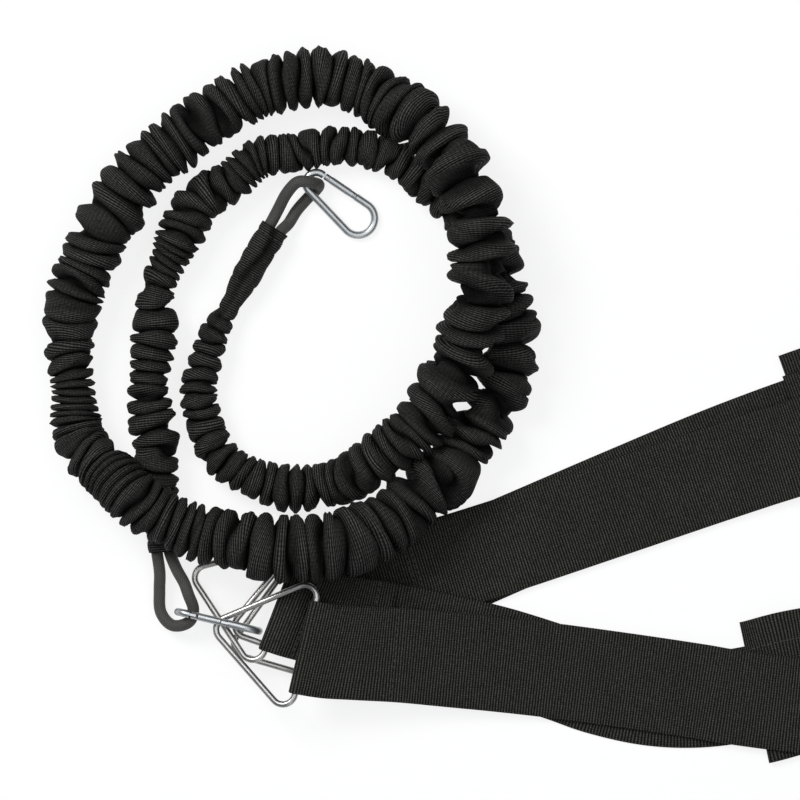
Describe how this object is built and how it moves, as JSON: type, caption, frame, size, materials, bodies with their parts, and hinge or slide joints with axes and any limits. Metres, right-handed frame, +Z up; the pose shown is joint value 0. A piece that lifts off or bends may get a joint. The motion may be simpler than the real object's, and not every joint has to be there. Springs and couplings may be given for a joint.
{
  "type": "resistance sprint trainer",
  "caption": "Elastic cord in a gathered fabric sleeve with a snap hook at each end, laid in a coil, and webbing waist belts whose triangle rings hang on one hook.",
  "frame": {"origin": "centre of the footprint of the belts, rings and hooks, on the floor they lie on", "axes": "+X along the belts, away from the coiled cord, +Z up from the floor, as the picture looks down"},
  "size_m": [0.5834, 0.3846, 0.0554],
  "materials": {
    "sleeve": "gathered ribbed weave, matte black",
    "elastic_core": "braided cover over elastic strands, matte black",
    "loop_crimp_1": "bluish zinc plate",
    "loop_crimp_2": "bluish zinc plate",
    "belt_1_strap": "ribbed polypropylene webbing, charcoal black",
    "belt_1_panel": "ribbed polypropylene webbing, charcoal black",
    "belt_2_strap": "ribbed polypropylene webbing, charcoal black",
    "belt_2_panel": "ribbed polypropylene webbing, charcoal black",
    "ring_1": "bright nickel plate",
    "ring_2": "bright nickel plate",
    "ring_3": "bright nickel plate",
    "ring_4": "bright nickel plate",
    "hook_1_body": "bluish zinc plate",
    "hook_1_gate": "bluish zinc plate",
    "hook_1_pivot_pin": "bluish zinc plate",
    "hook_1_latch_pin": "bluish zinc plate",
    "hook_1_plunger": "bluish zinc plate",
    "hook_1_spring": "bluish zinc plate",
    "hook_2_body": "bluish zinc plate",
    "hook_2_gate": "bluish zinc plate",
    "hook_2_pivot_pin": "bluish zinc plate",
    "hook_2_latch_pin": "bluish zinc plate",
    "hook_2_plunger": "bluish zinc plate",
    "hook_2_spring": "bluish zinc plate"
  },
  "bodies": {
    "cord_and_belts": {"sleeve": "sleeve", "elastic_core": "elastic_core", "loop_crimp_1": "loop_crimp_1", "loop_crimp_2": "loop_crimp_2", "belt_1_strap": "belt_1_strap", "belt_1_panel": "belt_1_panel", "belt_2_strap": "belt_2_strap", "belt_2_panel": "belt_2_panel"},
    "ring_1": {"ring_1": "ring_1"},
    "ring_2": {"ring_2": "ring_2"},
    "ring_3": {"ring_3": "ring_3"},
    "ring_4": {"ring_4": "ring_4"},
    "hook_1": {"hook_1_body": "hook_1_body"},
    "hook_2": {"hook_2_body": "hook_2_body"},
    "gate_1": {"hook_1_gate": "hook_1_gate", "hook_1_pivot_pin": "hook_1_pivot_pin", "hook_1_latch_pin": "hook_1_latch_pin", "hook_1_plunger": "hook_1_plunger", "hook_1_spring": "hook_1_spring"},
    "gate_2": {"hook_2_gate": "hook_2_gate", "hook_2_pivot_pin": "hook_2_pivot_pin", "hook_2_latch_pin": "hook_2_latch_pin", "hook_2_plunger": "hook_2_plunger", "hook_2_spring": "hook_2_spring"}
  },
  "joints": [
    {"name": "hook_1_swing", "type": "hinge", "parent": "cord_and_belts", "child": "hook_1", "pos_m": [-0.18326, 0.15374, 0.00947], "axis": [0.1459, -0.1229, 0.9816], "range_deg": [-18, 11]},
    {"name": "gate_1_hinge", "type": "hinge", "parent": "hook_1", "child": "gate_1", "pos_m": [-0.17687, 0.1562, 0.00883], "axis": [-0.1459, 0.1229, -0.9816], "range_deg": [0, 25], "stiffness_Nm_per_rad": 0.012, "springref_deg": -8.59},
    {"name": "hook_2_turn", "type": "hinge", "parent": "cord_and_belts", "child": "hook_2", "pos_m": [-0.25053, -0.07332, 0.01405], "axis": [0.9712, -0.2332, -0.0488], "range_deg": [-4, 7]},
    {"name": "gate_2_hinge", "type": "hinge", "parent": "hook_2", "child": "gate_2", "pos_m": [-0.24693, -0.07401, 0.01988], "axis": [0.232, 0.9723, -0.0279], "range_deg": [0, 1], "stiffness_Nm_per_rad": 0.012, "springref_deg": -8.59},
    {"name": "ring_1_hinge", "type": "hinge", "parent": "cord_and_belts", "child": "ring_1", "pos_m": [-0.18868, -0.09058, 0.02724], "axis": [-0.2233, -0.9748, 0], "range_deg": [0, 0.8]},
    {"name": "ring_2_hinge", "type": "hinge", "parent": "cord_and_belts", "child": "ring_2", "pos_m": [-0.2014, -0.0693, 0.0173], "axis": [-0.3584, -0.9336, 0], "range_deg": [-0.8, 1.5]},
    {"name": "ring_3_hinge", "type": "hinge", "parent": "cord_and_belts", "child": "ring_3", "pos_m": [-0.17815, -0.06775, 0.01118], "axis": [0.2656, -0.9641, 0], "range_deg": [0, 0.3]},
    {"name": "ring_4_hinge", "type": "hinge", "parent": "cord_and_belts", "child": "ring_4", "pos_m": [-0.17979, -0.07558, 0.0036], "axis": [0.3239, -0.9461, 0], "range_deg": [-0.1, 0.2]}
  ]
}
